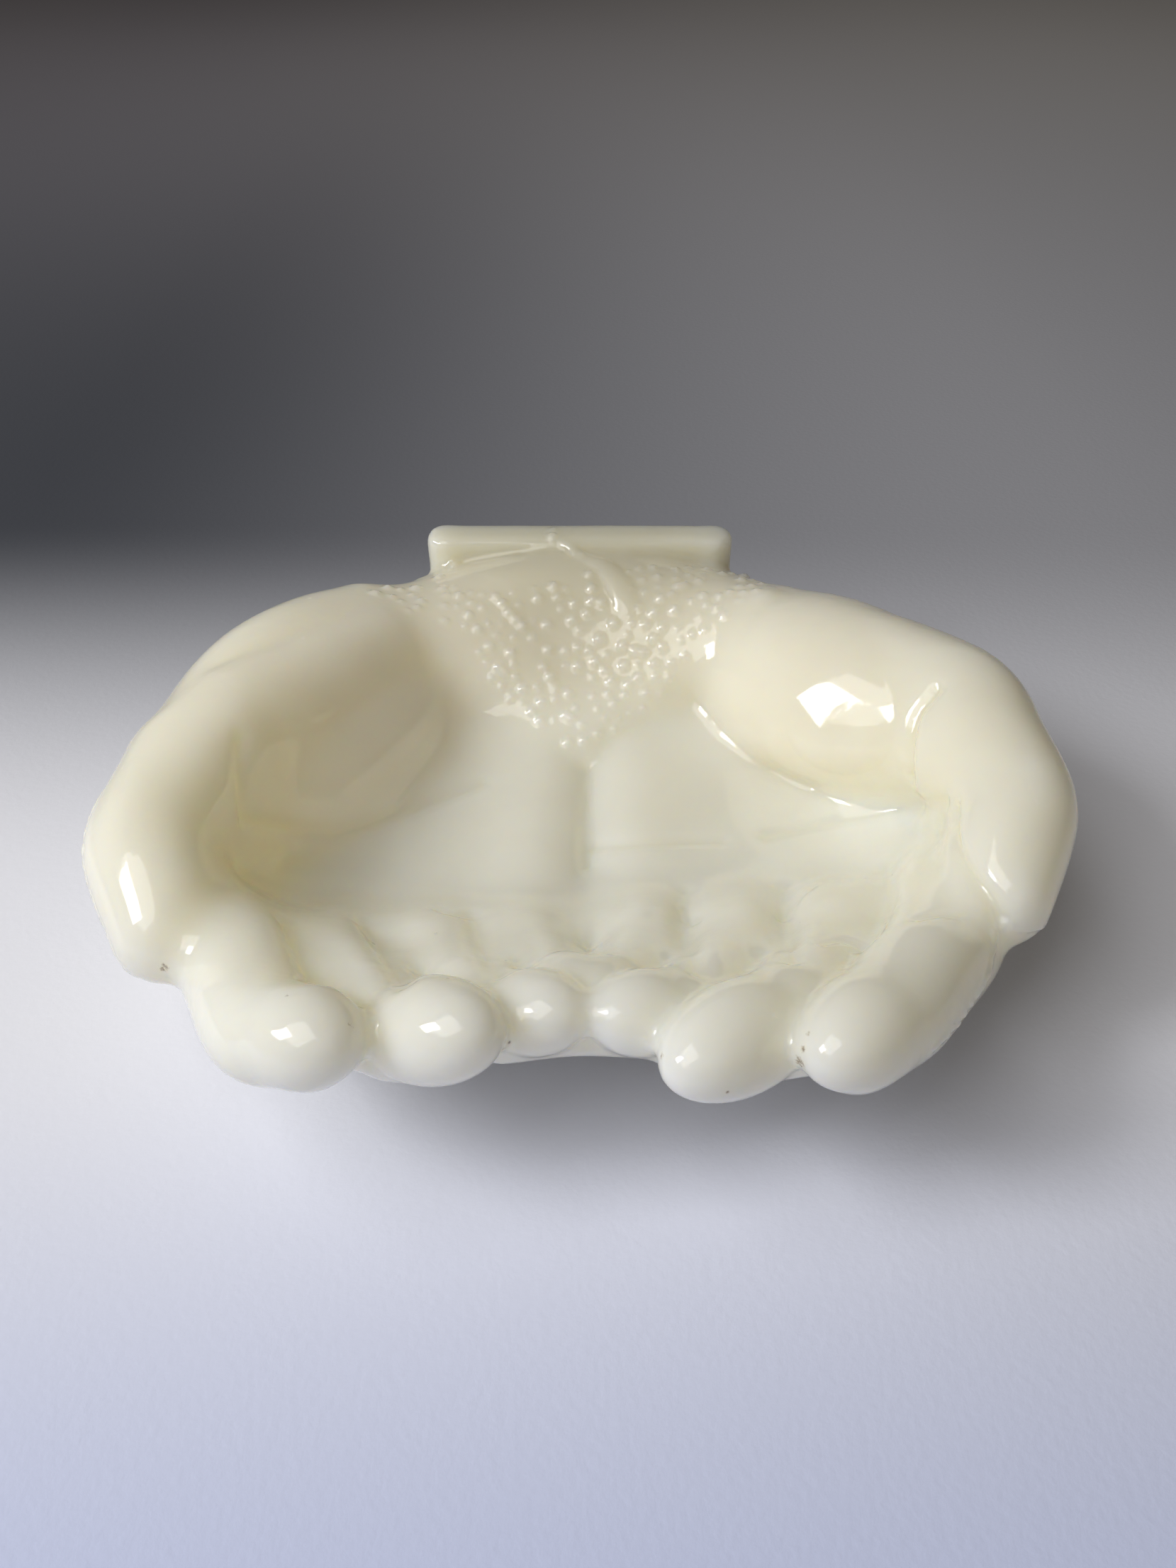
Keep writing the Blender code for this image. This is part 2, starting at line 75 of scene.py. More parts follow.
# Fingers: the knuckle's centre, then bones as (length, heading, rise). Heading is the turn
# from straight ahead towards the other hand and rise is above the table, both in degrees.
# Each hand is given as if it were the one at +X.
FINGERS = {
    "right": {
        "index": ((44.1, 1.1, 13.0), ((13.4, 13, 22), (17.3, 33, 17), (10.1, 43, 17))),
        "middle": ((31.7, -0.7, 10.0), ((10.6, 13, 22), (17.9, 30, 25), (12.4, 48, 16))),
        "ring": ((19.1, -1.7, 9.5), ((9.6, 8, 25), (15.9, 28, 26), (9.4, 57, 25))),
        "little": ((6.7, -2.2, 10.0), ((8.4, 1, 22), (11.1, 17, 29), (6.5, 35, 34))),
    },
    "left": {
        "index": ((45.0, -5.3, 13.0), ((11.0, 30, 35), (17.0, 27, 14), (7.8, 56, 22))),
        "middle": ((31.1, -5.5, 10.0), ((7.9, 5, 35), (18.0, 36, 19), (10.4, 54, 33))),
        "ring": ((19.8, -4.4, 9.5), ((8.3, 24, 25), (15.7, 27, 29), (9.0, 57, 29))),
        "little": ((8.2, -4.1, 10.0), ((7.5, 18, 25), (9.9, 18, 31), (6.3, 24, 38))),
    },
}
# Breadths at the knuckle, the two joints and the tip; flesh swells between joints.
FINGER_BREADTHS = {
    "index": (14.0, 13.8, 12.2, 11.0),
    "middle": (13.6, 12.4, 11.4, 10.0),
    "ring": (13.2, 11.8, 10.2, 8.0),
    "little": (12.4, 11.2, 9.6, 7.4),
}
FINGER_DEPTH_RATIO = 0.92
FINGER_SWELL = 1.01
THUMB_SWELL = 1.07

# Fingertips: an egg of flesh on the last bone. It overhangs both ends of the bone and sits
# part way along it, raised towards the palm.
FINGERTIP_BREADTHS = {"index": 11.6, "middle": 11.8, "ring": 9.5, "little": 9.6}
FINGERTIP_OVERHANGS = {"index": 4.8, "middle": 4.8, "ring": 2.4, "little": 3.6}
FINGERTIP_PLACES = {"index": 0.68, "middle": 0.68, "ring": 0.75, "little": 0.68}
FINGERTIP_RAISE = 0.2

# Thumbs, from the wrist outwards, in the same way.
THUMBS = {
    "right": ((27.9, 50.6, 17.0), ((34.0, -38, 13), (20.8, -9, 3), (13.6, 20, -12))),
    "left": ((28.0, 50.6, 17.0), ((40.0, -29.5, 11), (19.6, -11, 3), (12.4, 22, -12))),
}
THUMB_BREADTHS = (21.0, 19.0, 14.6, 12.6)

# Glass that fills the fold between each thumb and its palm.
FOLD_PATH = ((49.0, 20.0, 14.0), (48.5, 10.0, 14.5), (46.0, 0.0, 14.5))
FOLD_BREADTH = 10.0

# Ball of each thumb: centre, half-lengths along, across and through it, heading, rise, roll.
THUMB_BALLS = {
    "right": ((34.4, 38.1, 19.0), (27.0, 14.75, 12.0), -38, 10.5, 15),
    "left": ((35.8, 32.6, 19.0), (31.0, 18.5, 9.5), -32, 8, 37),
}

# Glass web that joins neighbouring fingers, and how far its top is above each joint.
WEB_THICKNESS = 4.4
WEB_RAISES = (2.2, 1.8, 0.8, -1.2)

# Palms, at stations from the wrist forwards: (y, outer edge, heights of the floor across
# one hand). The heights run outwards from the groove between the hands, at these parts of
# the way to the outer edge.
PALM_ACROSS = (0.0, 0.05, 0.14, 0.28, 0.48, 0.68, 0.88, 1.0)
PALM_FLOOR = (
    (56.0, 26.0, (15, 15, 16, 17, 18, 18, 18, 18)),
    (44.0, 36.0, (13, 14, 15, 15, 14, 14, 16, 18)),
    (32.0, 44.0, (11.5, 13, 14, 13.5, 12.5, 12, 15, 20)),
    (20.0, 50.0, (10, 11.5, 12.5, 12, 11, 11, 15, 22)),
    (8.0, 50.0, (9.5, 11.2, 12.2, 11.5, 11, 11, 14, 21)),
    (-4.0, 50.0, (9.5, 11.2, 12.2, 12, 12, 12, 15, 20)),
)
PALM_THICKNESS = 6.5

# Backs of the hands: one flat limb from the wrist to each knuckle, through a low middle.
WRIST_ENDS = {
    "index": (21.0, 51.0, 15.0),
    "middle": (16.0, 54.0, 14.0),
    "ring": (11.0, 55.0, 13.0),
    "little": (5.0, 55.0, 13.0),
}
BACK_BREADTHS = (16.0, 17.0, 12.0)
BACK_DEPTH_RATIO = 0.6
BACK_LOW_POINT = 4.2
KNUCKLE_DROP = 3.0

# Glass under the groove between the hands, from the heels to the little fingers.
SEAM_PATH = (
    (0.0, 48.0, 9.5), (0.0, 26.0, 6.0), (0.0, 2.0, 5.4), (0.0, -10.0, 10.2), (0.0, -18.0, 15.2),
)
SEAM_BREADTH = 7.0

# Glass that joins the two ring fingertips from below.
SKIRT_PATH = ((-9.0, -27.3, 20.3), (-1.0, -27.0, 21.3), (7.0, -27.0, 21.0))
SKIRT_BREADTH = 5.2

# Wrists: one flattened limb under the lace, from the cuff forwards.
WRIST_PATH = ((-1.0, 54.0, 13.5), (-1.0, 50.0, 12.5))
WRIST_BREADTHS = (54.0, 46.0)
WRIST_DEPTH_RATIO = 0.46

# Lace front: a tongue that tapers from the cuff down between the heels of the hands, as
# (y, left edge, right edge, heights across it).
LACE_STATIONS = (
    (63.0, -25.0, 22.5, (24.0, 27.5, 29.0, 27.5, 24.0)),
    (54.0, -30.0, 27.5, (26.0, 28.0, 28.0, 28.0, 27.0)),
    (47.0, -31.0, 26.5, (28.0, 26.0, 24.0, 26.0, 29.0)),
    (41.5, -23.0, 17.0, (25.0, 22.0, 19.5, 20.0, 23.0)),
    (37.0, -15.0, 11.0, (18.5, 17.5, 17.0, 17.0, 16.5)),
    (33.0, -8.0, 3.5, (14.5, 15.0, 15.0, 15.0, 14.0)),
    (29.0, -3.0, 1.0, (12.0, 12.5, 12.5, 12.5, 12.0)),
)
LACE_THICKNESS = 15.0

# Soft places of the body, as (rounds of smoothing, reach, height above which faces that
# look down are smoothed too, line seen from above): both pits beside the thumbs, the
# fingers' roots, the foot of the fingers in both palms, the fingers' first joints and the
# left forefinger's last joint, then the foot and the back of the left thumb's ball and both
# balls' inner ends.
SOFT_PLACES = (
    (60, 7.0, 10.5, ((38.0, 20.0), (48.0, 18.0), (50.0, 10.0))),
    (90, 7.0, 10.5, ((-50.0, 14.0), (-47.0, 5.0), (-41.0, -1.0), (-35.0, -7.0))),
    (45, 6.5, 10.5, ((46.0, 1.0), (32.0, -1.0), (19.0, -2.0), (7.0, -3.0), (0.0, -4.0))),
    (50, 6.5, 10.5, ((-46.0, -5.0), (-31.0, -6.0), (-20.0, -5.0), (-8.0, -4.0), (0.0, -4.0))),
    (60, 7.0, 10.5, ((46.0, 6.5), (32.6, 4.3), (19.6, 3.0), (6.8, 2.9), (0.0, 2.0))),
    (60, 7.0, 10.5, (
        (-47.5, 7.5), (-42.4, 3.3), (-34.0, 1.0), (-23.2, 0.0), (-8.0, 1.0), (0.0, 2.0),
    )),
    (40, 6.0, 12.0, ((42.0, -11.0), (29.5, -10.5), (18.0, -10.5), (6.5, -10.0))),
    (40, 6.0, 12.0, ((-40.0, -17.0), (-27.0, -14.0), (-17.0, -12.0), (-6.0, -11.0))),
    (80, 6.0, 99.0, ((-37.0, -20.0), (-29.0, -23.0))),
    (110, 10.0, 99.0, ((-36.0, 7.0), (-26.0, 14.0), (-19.0, 23.0), (-13.0, 36.0))),
    (100, 7.0, 99.0, ((-56.0, 20.0), (-54.0, 29.0), (-47.0, 38.0), (-38.0, 46.0))),
    (100, 8.0, 99.0, ((17.0, 46.0), (16.0, 38.0), (18.0, 30.0))),
    (100, 9.0, 99.0, ((-13.0, 36.0), (-17.0, 44.0), (-24.0, 50.0))),
)
# How many of the places above are smoothed once more on the fine skin, to close thin cracks.
HEALED_PLACES = 8
HEALING_ROUNDS = 24
# Faces whose normal points further down than this count as looking down.
SOFT_FACING = -0.5

# Lace: outline of the beaded front, seen from above.
LACE_OUTLINE = (
    (-31.0, 47.5), (-28.0, 57.0), (-24.0, 60.5), (21.0, 60.5), (27.0, 55.0), (25.0, 47.5),
    (16.5, 42.5), (11.0, 38.5), (6.5, 35.0), (0.5, 31.5), (-2.0, 30.5), (-8.5, 34.5),
    (-14.0, 39.0), (-20.0, 42.5), (-25.0, 44.0),
)
# Ribbon that lies across the lace, in pixels of the photograph, with its breadth at each.
RIBBON = ((778, 747), (800, 766), (822, 785), (850, 797), (872, 820), (884, 848), (882, 868))
RIBBON_BREADTHS = (2.0, 1.8, 2.2, 3.6, 4.2, 3.8, 2.0)
RIBBON_DEPTH_RATIO = 0.28
RIBBON_SAMPLES = 5

# Beads that catch the light, in pixels of the photograph, and their radius.
BRIGHT_BEADS = (
    (709, 851), (718, 864), (728, 874), (738, 884), (699, 842), (691, 912), (721, 921),
    (703, 942), (711, 949), (739, 972), (764, 990), (750, 1004), (762, 1016), (802, 978),
    (798, 1009), (801, 1047), (808, 874), (845, 902), (840, 934), (880, 939), (878, 911),
    (922, 901), (907, 921), (895, 919), (781, 827), (759, 844), (773, 881), (774, 917),
    (776, 954), (835, 829), (835, 847), (848, 850), (952, 859), (957, 828), (966, 826),
    (992, 840), (1015, 842), (923, 864), (932, 844), (820, 784), (831, 810), (779, 757),
    (661, 867), (674, 887), (647, 840), (587, 830), (547, 830), (529, 837), (1052, 810),
    (806, 1013), (900, 955), (862, 960), (815, 940), (865, 880), (620, 815), (640, 800),
)
BRIGHT_BEAD_RADIUS = 0.92

# Small beads scattered between them inside an outline seen from above: how many places are
# tried, the least distance between two beads, the size of the clusters, the noise below
# which the lace stays bare, and the part of its radius that a bead sinks in.
BEADED_OUTLINE = (
    (-30.0, 46.5), (-29.0, 52.0), (-22.0, 54.0), (-15.0, 51.5), (-9.0, 52.0), (1.0, 53.0),
    (9.0, 57.0), (21.0, 59.0), (27.0, 55.0), (25.0, 47.5), (16.5, 42.5), (11.0, 38.5),
    (6.5, 35.0), (0.5, 31.5), (-2.0, 30.5), (-8.5, 34.5), (-14.0, 39.0), (-20.0, 42.5),
)
SMALL_BEAD_RADII = (0.5, 0.8)
BEAD_TRIES = 4000
BEAD_SPACING = 1.75
BEAD_CLUSTER = 5.0
BEAD_BARE = -0.12
BEAD_SINK = 0.3
BEAD_SEED = 7
# A height above all of the glass, from which the places are sought.
OVERHEAD = 100.0

# Creases, each as (depth, half width, line in pixels of the photograph): across the joints
# of two fingers, in the palms, round the thumbs' roots, between the finger roots, and short
# ones at the left middle finger and the ring fingers.
CREASES = (
    (0.35, 0.7, ((1158, 1330), (1188, 1325), (1217, 1331))),
    (0.35, 0.7, ((1293, 1296), (1325, 1290), (1355, 1292))),
    (0.45, 1.1, ((839, 1194), (925, 1188), (1017, 1186))),
    (0.45, 1.1, ((1080, 1178), (1170, 1160), (1254, 1143), (1333, 1130))),
    (0.45, 1.2, ((352, 1160), (440, 1172), (500, 1172), (580, 1144), (680, 1104))),
    (0.5, 1.1, ((340, 1040), (338, 1100), (345, 1156))),
    (0.8, 1.0, ((1283, 1098), (1282, 1050), (1292, 1008), (1320, 972))),
    (0.9, 1.0, ((1345, 1140), (1346, 1190), (1366, 1228), (1398, 1268), (1412, 1294))),
    (0.8, 1.6, ((968, 1258), (966, 1310), (984, 1366))),
    (0.8, 1.6, ((1106, 1250), (1106, 1300), (1120, 1350))),
    (0.8, 1.6, ((1246, 1222), (1248, 1275), (1222, 1330))),
    (0.7, 1.5, ((405, 1300), (425, 1345), (446, 1388))),
    (0.7, 1.5, ((515, 1300), (540, 1340), (570, 1385))),
    (0.7, 1.5, ((668, 1290), (680, 1330), (700, 1372))),
    (0.3, 0.8, ((614, 1280), (640, 1288), (664, 1286))),
    (0.3, 0.8, ((962, 1275), (970, 1288), (979, 1296))),
    (0.3, 0.8, ((1106, 1288), (1122, 1268), (1145, 1250))),
)
# Mould seams that stand out, as (height, half width, line in pixels): the outer side of the
# right forefinger, the outer side of the left thumb and the end of the right thumb.
SEAMS = (
    (0.3, 0.4, ((1402, 1312), (1400, 1348), (1388, 1386), (1358, 1432), (1318, 1478))),
    (0.15, 0.35, ((117, 1110), (112, 1180), (124, 1260), (150, 1330), (186, 1384))),
    (0.2, 0.4, ((1414, 1300), (1440, 1312), (1476, 1306))),
)
# Raggedness of the seams: its share of their height, its length and how many waves add up.
SEAM_RAGGEDNESS = 0.4
RAGGED_LENGTH = 1.5
RAGGED_WAVES = 6

# Flat of the right thumb's ball, as (share of its curve taken away, reach, pixel of the
# photograph, way it faces).
FLAT = (0.75, 8.0, (1180, 1018), (-0.515, -0.558, 0.652))

# Slow waves of the pressed surface: height, middle length, range of lengths, and how many.
WAVE_HEIGHT = 0.05
WAVE_LENGTH = 11.0
WAVE_RANGE = (0.7, 1.5)
WAVES = 8
WAVE_SEED = 3
# Largest phase of a wave, in radians.
LARGEST_PHASE = 6.28

# Specks of dirt in the hollows, in pixels of the photograph, with a radius in millimetres.
DIRT = (
    (231, 1365, 0.8), (544, 1345, 0.5), (556, 1366, 0.5), (567, 1386, 0.4), (406, 1403, 0.3),
    (495, 1446, 0.5), (718, 1471, 0.5), (933, 1490, 0.6), (1027, 1540, 0.4), (1129, 1500, 1.0),
    (1140, 1457, 0.5), (1129, 1300, 0.3), (1133, 1480, 0.6),
)

# Level that the feet are ground to.
FOOT_LEVEL = 0.8

# Cuff: a straight band across the back with a round post at each end.
CUFF_X = (-22.2, 19.6)
CUFF_Y = 64.5
CUFF_HEIGHT = 30.2
CUFF_THICKNESS = 6.0
POST_RADIUS = 3.4

# Opal glass: body colours where it is thin and thick, and the thickness that counts as
# thick, in millimetres. It is measured from just under the surface.
THIN_GLASS = (0.885, 0.875, 0.785, 1.0)
THICK_GLASS = (0.895, 0.86, 0.735, 1.0)
THICK = 16.0
UNDER_SURFACE = 0.05
# Painted shade: the glass's colour is darkened round the wrists, seen from above, for the
# half shadow over the back of the dish.
WRIST_PAINTED_SHADE = (0.67, 0.64, 0.51, 1.0)
WRIST_SHADE_CENTRE = (-1.5, 64.0)
WRIST_SHADE_REACH = (27.0, 22.0)
DIRT_COLOUR = (0.16, 0.10, 0.05, 1.0)
# How far red, green and blue light scatter, and the scale of that in metres.
SCATTER_RADIUS = (1.0, 0.85, 0.6)
SCATTER_SCALE = 0.015

# Table paper: painted bluish shade in front, its own pale colour beside the dish, painted
# shade behind it and far off at both sides, and the places in metres between which one
# turns into the next.
TABLE_HALF_BREADTH = 3.0
PAINTED_SHADE_FRONT = (0.56, 0.63, 0.92, 1.0)
PAPER_MIDDLE = (0.84, 0.86, 0.95, 1.0)
PAINTED_SHADE_BACK_LEFT = (0.045, 0.05, 0.065, 1.0)
PAINTED_SHADE_BACK_RIGHT = (0.40, 0.41, 0.46, 1.0)
PAINTED_SHADE_FAR_LEFT = (0.30, 0.29, 0.34, 1.0)
PAINTED_SHADE_FAR_RIGHT = (0.66, 0.66, 0.70, 1.0)
FRONT_TO_MIDDLE = (-0.11, -0.02)
MIDDLE_TO_BACK = (-0.005, 0.11)
BACK_TO_FAR = (0.1, 0.8)
BACK_LEFT_TO_RIGHT = (-0.13, 0.13)
FAR_LEFT_TO_RIGHT = (-0.35, 0.35)

# Lamps, as (name, place, breadth and height, watts, colour), all aimed at one point, and the
# light of the room. Places and sizes are in metres.
LAMPS = (
    ("window", (-0.555, -0.149, 0.482), (0.2, 0.26), 2.4, (1.0, 0.99, 0.97)),
    ("sky", (-0.33, -0.2, 0.58), (0.5, 0.5), 2.1, (1.0, 0.98, 0.95)),
    ("fill", (0.1, -0.5, 0.6), (0.8, 0.5), 0.3, (1.0, 0.95, 0.86)),
)
LAMPS_AIM = Vector((0.0, 0.0, 0.02))
ROOM_COLOUR = (1.0, 0.88, 0.7, 1.0)
ROOM_STRENGTH = 0.08


def pointing(side, heading, rise):
    """Unit vector of a heading and a rise; side is +1 for the hand at +X, else -1."""
    turn, lift = math.radians(heading), math.radians(rise)
    flat = math.cos(lift)
    return Vector((-side * math.sin(turn) * flat, -math.cos(turn) * flat, math.sin(lift)))


def joints_of(side, root, bones):
    """Joint centres of one digit, from its root outwards."""
    joints = [Vector((side * root[0], root[1], root[2]))]
    for length, heading, rise in bones:
        joints.append(joints[-1] + length * pointing(side, heading, rise))
    return joints


def smooth_rows(rows, per_span):
    """Catmull-Rom curve through rows of numbers, with per_span samples between two rows."""
    rows = np.asarray(rows, float)
    padded = np.concatenate([[2 * rows[0] - rows[1]], rows, [2 * rows[-1] - rows[-2]]])
    t = (np.arange(per_span) / per_span).reshape([-1] + [1] * (rows.ndim - 1))
    spans = []
    for p0, p1, p2, p3 in zip(padded, padded[1:], padded[2:], padded[3:]):
        bend = 2 * p0 - 5 * p1 + 4 * p2 - p3 + t * (3 * (p1 - p2) + p3 - p0)
        spans.append(p1 + 0.5 * t * (p2 - p0 + t * bend))
    return np.concatenate(spans + [rows[-1:]])


def add_limb(bm, centres, breadths, depth_ratio=1.0, sides=24, per_span=6):
    """A closed round-ended limb along centres, with a breadth at each of them."""
    rows = smooth_rows([[*c, b / 2] for c, b in zip(centres, breadths)], per_span)
    path, radii = rows[:, :3], rows[:, 3]
    along = np.gradient(path, axis=0)
    along /= np.linalg.norm(along, axis=1)[:, None]
    stations = list(zip(path, along, radii))
    # Quarter-round ends, as extra rings before the first centre and after the last.
    for angle in (20, 40, 60, 80):
        reach = depth_ratio * math.sin(math.radians(angle))
        shrink = math.cos(math.radians(angle))
        stations.insert(0, (path[0] - along[0] * radii[0] * reach, along[0], radii[0] * shrink))
        stations.append((path[-1] + along[-1] * radii[-1] * reach, along[-1], radii[-1] * shrink))
    rings = []
    for centre, forward, radius in stations:
        across = np.cross(forward, (0, 0, 1))
        across /= np.linalg.norm(across)
        up = np.cross(across, forward)
        ring = []
        for k in range(sides):
            angle = 2 * math.pi * k / sides
            offset = math.cos(angle) * across + depth_ratio * math.sin(angle) * up
            ring.append(bm.verts.new(centre + radius * offset))
        rings.append(ring)
    for lower, upper in zip(rings, rings[1:]):
        for k in range(sides):
            n = (k + 1) % sides
            bm.faces.new((lower[k], lower[n], upper[n], upper[k]))
    bm.faces.new(rings[0][::-1])
    bm.faces.new(rings[-1])


def add_digit(bm, joints, breadths, swell, depth_ratio=1.0):
    """A limb whose flesh swells half way between its joints."""
    centres, widths = [joints[0]], [breadths[0]]
    for near, far, near_breadth, far_breadth in zip(joints, joints[1:], breadths, breadths[1:]):
        centres += [(near + far) / 2, far]
        widths += [(near_breadth + far_breadth) / 2 * swell, far_breadth]
    add_limb(bm, centres, widths, depth_ratio)


def add_egg(bm, centre, forward, half_lengths, roll=0.0):
    """An ellipsoid with half-lengths along forward, across it and through it."""
    across = forward.cross(Vector((0, 0, 1))).normalized()
    across.rotate(Matrix.Rotation(math.radians(roll), 3, forward))
    up = across.cross(forward)
    axes = Matrix([a * h for a, h in zip((forward, across, up), half_lengths)]).transposed()
    place = Matrix.Translation(centre) @ axes.to_4x4()
    bmesh.ops.create_uvsphere(bm, u_segments=40, v_segments=20, radius=1.0, matrix=place)


def add_fingertip(bm, joint, tip, finger):
    breadth = FINGERTIP_BREADTHS[finger]
    forward = (tip - joint).normalized()
    up = forward.cross(Vector((0, 0, 1))).cross(forward).normalized()
    length = (tip - joint).length / 2 + FINGERTIP_OVERHANGS[finger]
    centre = joint.lerp(tip, FINGERTIP_PLACES[finger]) + up * FINGERTIP_RAISE
    add_egg(bm, centre, forward, (length, breadth / 2, breadth / 2 * FINGER_DEPTH_RATIO))


def add_back(bm, side, wrist_end, knuckle):
    start = Vector((side * wrist_end[0], wrist_end[1], wrist_end[2]))
    end = knuckle - Vector((0, 0, KNUCKLE_DROP))
    low = (start + end) / 2
    low.z = BACK_LOW_POINT
    add_limb(bm, (start, low, end), BACK_BREADTHS, BACK_DEPTH_RATIO)


def add_sheet(bm, rows, thickness):
    """A closed slab under a smooth surface through rows of points, all of one length."""
    top = smooth_rows(rows, SHEET_SAMPLES)
    top = np.swapaxes(smooth_rows(np.swapaxes(top, 0, 1), SHEET_SAMPLES), 0, 1)
    upper = [[bm.verts.new(p) for p in row] for row in top]
    lower = [[bm.verts.new(p - (0, 0, thickness)) for p in row] for row in top]
    rows_made, columns_made = len(upper), len(upper[0])
    for i in range(rows_made - 1):
        for j in range(columns_made - 1):
            bm.faces.new((upper[i][j], upper[i + 1][j], upper[i + 1][j + 1], upper[i][j + 1]))
            bm.faces.new((lower[i][j], lower[i][j + 1], lower[i + 1][j + 1], lower[i + 1][j]))
    rim = [(i, 0) for i in range(rows_made)]
    rim += [(rows_made - 1, j) for j in range(1, columns_made)]
    rim += [(i, columns_made - 1) for i in range(rows_made - 2, -1, -1)]
    rim += [(0, j) for j in range(columns_made - 2, 0, -1)]
    for (i, j), (m, n) in zip(rim, rim[1:] + rim[:1]):
        bm.faces.new((upper[i][j], lower[i][j], lower[m][n], upper[m][n]))


def add_hand(bm, name, side, web_rows):
    """Fingers, thumb and palm of one hand; its finger joints are added to the web's rows."""
    fingers = list(FINGERS[name].items())
    for finger, (knuckle, bones) in fingers if side > 0 else fingers[::-1]:
        joints = joints_of(side, knuckle, bones)
        add_digit(bm, joints, FINGER_BREADTHS[finger], FINGER_SWELL, FINGER_DEPTH_RATIO)
        add_fingertip(bm, joints[2], joints[3], finger)
        add_back(bm, side, WRIST_ENDS[finger], joints[0])
        for row, joint, raised in zip(web_rows, joints, WEB_RAISES):
            row.append(joint + Vector((0, 0, raised)))
    add_digit(bm, joints_of(side, *THUMBS[name]), THUMB_BREADTHS, THUMB_SWELL)
    fold = [Vector((side * x, y, z)) for x, y, z in FOLD_PATH]
    add_limb(bm, fold, [FOLD_BREADTH] * len(fold))
    centre, half_lengths, heading, rise, roll = THUMB_BALLS[name]
    centre = Vector((side * centre[0], centre[1], centre[2]))
    add_egg(bm, centre, pointing(side, heading, rise), half_lengths, side * roll)
    floor = [
        [(side * part * edge, y, z) for part, z in zip(PALM_ACROSS, heights)]
        for y, edge, heights in PALM_FLOOR
    ]
    add_sheet(bm, floor, PALM_THICKNESS)


def add_cuff(bm):
    left, right = CUFF_X
    middle = ((left + right) / 2, CUFF_Y, CUFF_HEIGHT / 2)
    band = Matrix.Diagonal((right - left, CUFF_THICKNESS, CUFF_HEIGHT, 1))
    bmesh.ops.create_cube(bm, size=1.0, matrix=Matrix.Translation(middle) @ band)
    for x in CUFF_X:
        post = Matrix.Translation((x, CUFF_Y, CUFF_HEIGHT / 2))
        bmesh.ops.create_cone(
            bm, cap_ends=True, segments=32, radius1=POST_RADIUS, radius2=POST_RADIUS,
            depth=CUFF_HEIGHT, matrix=post,
        )


def body_shells():
    bm = bmesh.new()
    web_rows = [[], [], [], []]
    add_hand(bm, "right", 1, web_rows)
    add_hand(bm, "left", -1, web_rows)
    add_sheet(bm, web_rows, WEB_THICKNESS)
    add_limb(bm, SEAM_PATH, [SEAM_BREADTH] * len(SEAM_PATH))
    add_limb(bm, SKIRT_PATH, [SKIRT_BREADTH] * len(SKIRT_PATH))
    add_limb(bm, WRIST_PATH, WRIST_BREADTHS, WRIST_DEPTH_RATIO)
    lace = [
        [(x, y, z) for x, z in zip(np.linspace(left, right, len(heights)), heights)]
        for y, left, right, heights in LACE_STATIONS
    ]
    add_sheet(bm, lace, LACE_THICKNESS)
    add_cuff(bm)
    bmesh.ops.recalc_face_normals(bm, faces=bm.faces)
    return bm


def fused(bm, voxel, softening):
    """One closed skin around all the shells of bm, without the voids they enclose."""
    shells = bpy.data.meshes.new("shells")
    bm.to_mesh(shells)
    bm.free()
    obj = bpy.data.objects.new("shells", shells)
    bpy.context.scene.collection.objects.link(obj)
    remesh = obj.modifiers.new("Fuse", "REMESH")
    remesh.mode = "VOXEL"
    remesh.voxel_size = voxel
    remesh.adaptivity = 0.0
    smooth = obj.modifiers.new("Soften", "SMOOTH")
    smooth.factor = 0.5
    smooth.iterations = softening
    skin = baked(obj)
    bpy.data.meshes.remove(shells)
    return outer_skin(skin)


def baked(obj):
    """The object's mesh with its modifiers applied; the object itself is removed."""
    mesh = bpy.data.meshes.new_from_object(obj.evaluated_get(bpy.context.evaluated_depsgraph_get()))
    bpy.data.objects.remove(obj)
    return mesh


def outer_skin(mesh):
    """Only the piece of the mesh that reaches furthest to +X, without the voids inside it."""
    bm = bmesh.new()
    bm.from_mesh(mesh)
    waiting = [max(bm.verts, key=lambda vert: vert.co.x)]
    waiting[0].tag = True
    while waiting:
        vert = waiting.pop()
        for edge in vert.link_edges:
            other = edge.other_vert(vert)
            if not other.tag:
                other.tag = True
                waiting.append(other)
    stray = [vert for vert in bm.verts if not vert.tag]
    bmesh.ops.delete(bm, geom=stray, context="VERTS")
    bm.to_mesh(mesh)
    bm.free()
    return mesh


def rows_of(items, name, width, kind=float):
    """One property of all the items, as rows of numbers."""
    values = np.empty(len(items) * width, kind)
    items.foreach_get(name, values)
    return values.reshape(-1, width)


def away_from(line, points):
    """Distance of each point from a line, both seen from above."""
    line = smooth_rows(line, 6)
    away = np.full(len(points), np.inf)
    for start, end in zip(line, line[1:]):
        span = end - start
        t = np.clip((points[:, :2] - start) @ span / (span @ span), 0, 1)
        gap = np.linalg.norm(points[:, :2] - start - t[:, None] * span, axis=1)
        away = np.minimum(away, gap)
    return away


def soften(skin, places):
    """Blend the soft places of the skin's top and sides into what is around them."""
    points = rows_of(skin.vertices, "co", 3)
    normals = rows_of(skin.vertex_normals, "vector", 3)
    ends = rows_of(skin.edges, "vertices", 2, int)
    for rounds, reach, height, line in places:
        pull = 0.5 * np.clip(1 - (away_from(line, points) / reach) ** 2, 0, 1)
        pull[(normals[:, 2] < SOFT_FACING) & (points[:, 2] < height)] = 0
        near, far = ends[(pull[ends] > 0).any(axis=1)].T
        starts, others = np.concatenate([near, far]), np.concatenate([far, near])
        count = np.maximum(np.bincount(starts, minlength=len(points)), 1)
        for _ in range(rounds):
            sums = [np.bincount(starts, points[others, k], len(points)) for k in range(3)]
            points += pull[:, None] * (np.transpose(sums) / count[:, None] - points)
    skin.vertices.foreach_set("co", points.ravel())
    skin.update()


